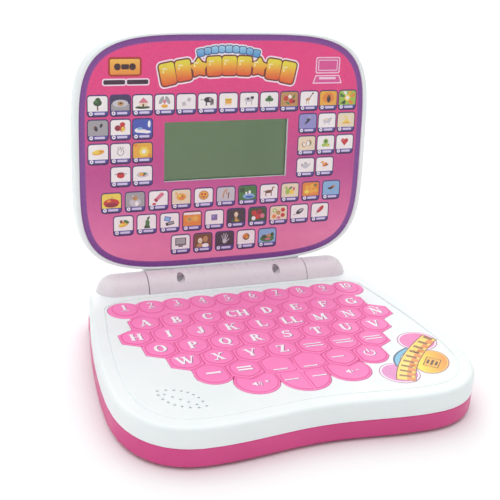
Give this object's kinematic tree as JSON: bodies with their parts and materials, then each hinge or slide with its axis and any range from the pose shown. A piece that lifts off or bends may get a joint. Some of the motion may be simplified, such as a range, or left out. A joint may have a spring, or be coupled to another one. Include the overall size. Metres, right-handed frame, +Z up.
{
  "type": "toy laptop computer",
  "caption": "Child's toy laptop: white and pink shell, honeycomb keyboard, and a hinged lid with a picture card round a small display.",
  "frame": {"origin": "under the middle of the whole toy, on the plane that its feet stand on, with the lid at rest 95 degrees open", "axes": "+X to the user's right along the hinge, +Y to the back, +Z up"},
  "size_m": [0.235, 0.2136, 0.2044],
  "materials": {
    "white_shell": "moulded, satin gloss",
    "magenta_shell": "moulded, satin gloss",
    "key_pink": "soft-touch moulded keys with a faint emboss",
    "steel": "zinc plated",
    "battery_sleeve": "printed sleeve",
    "circuit_board": "solder mask",
    "inner_plastic": "moulded, unpolished",
    "dome_rubber": "translucent silicone",
    "speaker_black": "frame and cone",
    "foot_rubber": "matt",
    "sticker": "printed, gloss varnish",
    "card": "printed, gloss varnish",
    "clear_window": "polished clear plastic",
    "display": "reflective liquid crystal glass"
  },
  "bodies": {
    "base": {"base_bottom": "magenta_shell", "base_top": "white_shell", "battery_door": "magenta_shell", "base_screws": "steel", "batteries": "battery_sleeve", "battery_contacts": "steel", "main_board": "circuit_board", "key_guide": "inner_plastic", "dome_sheet": "dome_rubber", "speaker": "speaker_black", "rubber_feet": "foot_rubber", "flower_sticker": "sticker", "hinge_pins": "steel"},
    "lid": {"lid_front": "white_shell", "lid_back": "white_shell", "picture_card": "card", "lcd_window": "clear_window", "lcd_panel": "display", "lcd_board": "circuit_board", "lid_screws": "steel"},
    "key_a": {"key_a": "key_pink"},
    "key_b": {"key_b": "key_pink"},
    "key_c": {"key_c": "key_pink"},
    "key_ch": {"key_ch": "key_pink"},
    "key_d": {"key_d": "key_pink"},
    "key_e": {"key_e": "key_pink"},
    "key_f": {"key_f": "key_pink"},
    "key_g": {"key_g": "key_pink"},
    "key_h": {"key_h": "key_pink"},
    "key_i": {"key_i": "key_pink"},
    "key_j": {"key_j": "key_pink"},
    "key_k": {"key_k": "key_pink"},
    "key_l": {"key_l": "key_pink"},
    "key_ll": {"key_ll": "key_pink"},
    "key_m": {"key_m": "key_pink"},
    "key_n": {"key_n": "key_pink"},
    "key_n_tilde": {"key_n_tilde": "key_pink"},
    "key_o": {"key_o": "key_pink"},
    "key_p": {"key_p": "key_pink"},
    "key_q": {"key_q": "key_pink"},
    "key_r": {"key_r": "key_pink"},
    "key_s": {"key_s": "key_pink"},
    "key_t": {"key_t": "key_pink"},
    "key_u": {"key_u": "key_pink"},
    "key_v": {"key_v": "key_pink"},
    "key_w": {"key_w": "key_pink"},
    "key_x": {"key_x": "key_pink"},
    "key_y": {"key_y": "key_pink"},
    "key_z": {"key_z": "key_pink"},
    "key_f1": {"key_f1": "key_pink"},
    "key_f2": {"key_f2": "key_pink"},
    "key_f3": {"key_f3": "key_pink"},
    "key_demo": {"key_demo": "key_pink"},
    "key_f4": {"key_f4": "key_pink"},
    "key_pad": {"key_pad": "key_pink"},
    "key_f7": {"key_f7": "key_pink"},
    "key_power": {"key_power": "key_pink"},
    "key_volume_up": {"key_volume_up": "key_pink"},
    "key_volume_down": {"key_volume_down": "key_pink"},
    "number_keys": {"number_keys": "key_pink"}
  },
  "joints": [
    {"name": "lid_hinge", "type": "hinge", "parent": "base", "child": "lid", "pos_m": [0, 0.07759, 0.0259], "axis": [1, 0, 0], "range_deg": [-35, 95]},
    {"name": "key_a_press", "type": "slide", "parent": "base", "child": "key_a", "axis": [0, 0, -1], "range_m": [0, 0.0008], "stiffness_N_per_m": 600},
    {"name": "key_b_press", "type": "slide", "parent": "base", "child": "key_b", "axis": [0, 0, -1], "range_m": [0, 0.0008], "stiffness_N_per_m": 600},
    {"name": "key_c_press", "type": "slide", "parent": "base", "child": "key_c", "axis": [0, 0, -1], "range_m": [0, 0.0008], "stiffness_N_per_m": 600},
    {"name": "key_ch_press", "type": "slide", "parent": "base", "child": "key_ch", "axis": [0, 0, -1], "range_m": [0, 0.0008], "stiffness_N_per_m": 600},
    {"name": "key_d_press", "type": "slide", "parent": "base", "child": "key_d", "axis": [0, 0, -1], "range_m": [0, 0.0008], "stiffness_N_per_m": 600},
    {"name": "key_e_press", "type": "slide", "parent": "base", "child": "key_e", "axis": [0, 0, -1], "range_m": [0, 0.0008], "stiffness_N_per_m": 600},
    {"name": "key_f_press", "type": "slide", "parent": "base", "child": "key_f", "axis": [0, 0, -1], "range_m": [0, 0.0008], "stiffness_N_per_m": 600},
    {"name": "key_g_press", "type": "slide", "parent": "base", "child": "key_g", "axis": [0, 0, -1], "range_m": [0, 0.0008], "stiffness_N_per_m": 600},
    {"name": "key_h_press", "type": "slide", "parent": "base", "child": "key_h", "axis": [0, 0, -1], "range_m": [0, 0.0008], "stiffness_N_per_m": 600},
    {"name": "key_i_press", "type": "slide", "parent": "base", "child": "key_i", "axis": [0, 0, -1], "range_m": [0, 0.0008], "stiffness_N_per_m": 600},
    {"name": "key_j_press", "type": "slide", "parent": "base", "child": "key_j", "axis": [0, 0, -1], "range_m": [0, 0.0008], "stiffness_N_per_m": 600},
    {"name": "key_k_press", "type": "slide", "parent": "base", "child": "key_k", "axis": [0, 0, -1], "range_m": [0, 0.0008], "stiffness_N_per_m": 600},
    {"name": "key_l_press", "type": "slide", "parent": "base", "child": "key_l", "axis": [0, 0, -1], "range_m": [0, 0.0008], "stiffness_N_per_m": 600},
    {"name": "key_ll_press", "type": "slide", "parent": "base", "child": "key_ll", "axis": [0, 0, -1], "range_m": [0, 0.0008], "stiffness_N_per_m": 600},
    {"name": "key_m_press", "type": "slide", "parent": "base", "child": "key_m", "axis": [0, 0, -1], "range_m": [0, 0.0008], "stiffness_N_per_m": 600},
    {"name": "key_n_press", "type": "slide", "parent": "base", "child": "key_n", "axis": [0, 0, -1], "range_m": [0, 0.0008], "stiffness_N_per_m": 600},
    {"name": "key_n_tilde_press", "type": "slide", "parent": "base", "child": "key_n_tilde", "axis": [0, 0, -1], "range_m": [0, 0.0008], "stiffness_N_per_m": 600},
    {"name": "key_o_press", "type": "slide", "parent": "base", "child": "key_o", "axis": [0, 0, -1], "range_m": [0, 0.0008], "stiffness_N_per_m": 600},
    {"name": "key_p_press", "type": "slide", "parent": "base", "child": "key_p", "axis": [0, 0, -1], "range_m": [0, 0.0008], "stiffness_N_per_m": 600},
    {"name": "key_q_press", "type": "slide", "parent": "base", "child": "key_q", "axis": [0, 0, -1], "range_m": [0, 0.0008], "stiffness_N_per_m": 600},
    {"name": "key_r_press", "type": "slide", "parent": "base", "child": "key_r", "axis": [0, 0, -1], "range_m": [0, 0.0008], "stiffness_N_per_m": 600},
    {"name": "key_s_press", "type": "slide", "parent": "base", "child": "key_s", "axis": [0, 0, -1], "range_m": [0, 0.0008], "stiffness_N_per_m": 600},
    {"name": "key_t_press", "type": "slide", "parent": "base", "child": "key_t", "axis": [0, 0, -1], "range_m": [0, 0.0008], "stiffness_N_per_m": 600},
    {"name": "key_u_press", "type": "slide", "parent": "base", "child": "key_u", "axis": [0, 0, -1], "range_m": [0, 0.0008], "stiffness_N_per_m": 600},
    {"name": "key_v_press", "type": "slide", "parent": "base", "child": "key_v", "axis": [0, 0, -1], "range_m": [0, 0.0008], "stiffness_N_per_m": 600},
    {"name": "key_w_press", "type": "slide", "parent": "base", "child": "key_w", "axis": [0, 0, -1], "range_m": [0, 0.0008], "stiffness_N_per_m": 600},
    {"name": "key_x_press", "type": "slide", "parent": "base", "child": "key_x", "axis": [0, 0, -1], "range_m": [0, 0.0008], "stiffness_N_per_m": 600},
    {"name": "key_y_press", "type": "slide", "parent": "base", "child": "key_y", "axis": [0, 0, -1], "range_m": [0, 0.0008], "stiffness_N_per_m": 600},
    {"name": "key_z_press", "type": "slide", "parent": "base", "child": "key_z", "axis": [0, 0, -1], "range_m": [0, 0.0008], "stiffness_N_per_m": 600},
    {"name": "key_f1_press", "type": "slide", "parent": "base", "child": "key_f1", "axis": [0, 0, -1], "range_m": [0, 0.0008], "stiffness_N_per_m": 600},
    {"name": "key_f2_press", "type": "slide", "parent": "base", "child": "key_f2", "axis": [0, 0, -1], "range_m": [0, 0.0008], "stiffness_N_per_m": 600},
    {"name": "key_f3_press", "type": "slide", "parent": "base", "child": "key_f3", "axis": [0, 0, -1], "range_m": [0, 0.0008], "stiffness_N_per_m": 600},
    {"name": "key_demo_press", "type": "slide", "parent": "base", "child": "key_demo", "axis": [0, 0, -1], "range_m": [0, 0.0008], "stiffness_N_per_m": 600},
    {"name": "key_f4_press", "type": "slide", "parent": "base", "child": "key_f4", "axis": [0, 0, -1], "range_m": [0, 0.0008], "stiffness_N_per_m": 600},
    {"name": "key_pad_press", "type": "slide", "parent": "base", "child": "key_pad", "axis": [0, 0, -1], "range_m": [0, 0.0008], "stiffness_N_per_m": 2400},
    {"name": "key_f7_press", "type": "slide", "parent": "base", "child": "key_f7", "axis": [0, 0, -1], "range_m": [0, 0.0008], "stiffness_N_per_m": 600},
    {"name": "key_power_press", "type": "slide", "parent": "base", "child": "key_power", "axis": [0, 0, -1], "range_m": [0, 0.0008], "stiffness_N_per_m": 600},
    {"name": "key_volume_up_press", "type": "slide", "parent": "base", "child": "key_volume_up", "axis": [0, 0, -1], "range_m": [0, 0.0008], "stiffness_N_per_m": 600},
    {"name": "key_volume_down_press", "type": "slide", "parent": "base", "child": "key_volume_down", "axis": [0, 0, -1], "range_m": [0, 0.0008], "stiffness_N_per_m": 600},
    {"name": "number_keys_press", "type": "slide", "parent": "base", "child": "number_keys", "axis": [0, 0, -1], "range_m": [0, 0.0008], "stiffness_N_per_m": 6000}
  ]
}
